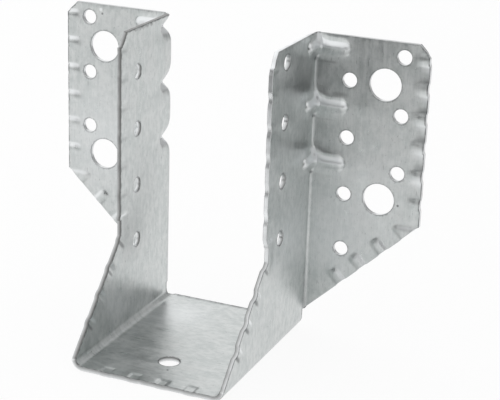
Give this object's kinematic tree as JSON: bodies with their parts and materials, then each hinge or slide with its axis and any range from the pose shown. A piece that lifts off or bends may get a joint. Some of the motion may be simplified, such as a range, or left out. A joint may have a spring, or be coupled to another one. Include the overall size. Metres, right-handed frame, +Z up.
{
  "type": "joist hanger",
  "caption": "Folded sheet steel joist hanger with outward flanges, a U-shaped seat, nail and bolt holes, pressed gussets and crimped edges.",
  "frame": {"origin": "below the middle of the outline, at the hanger's lowest point", "axes": "X across the joist, Y from the seat's front edge towards the header, Z up"},
  "size_m": [0.135, 0.07, 0.1068],
  "materials": {
    "galvanised_steel": "galvanised rolled sheet, satin, with fine rolling streaks"
  },
  "bodies": {
    "root": {"joist_hanger": "galvanised_steel"}
  },
  "joints": []
}
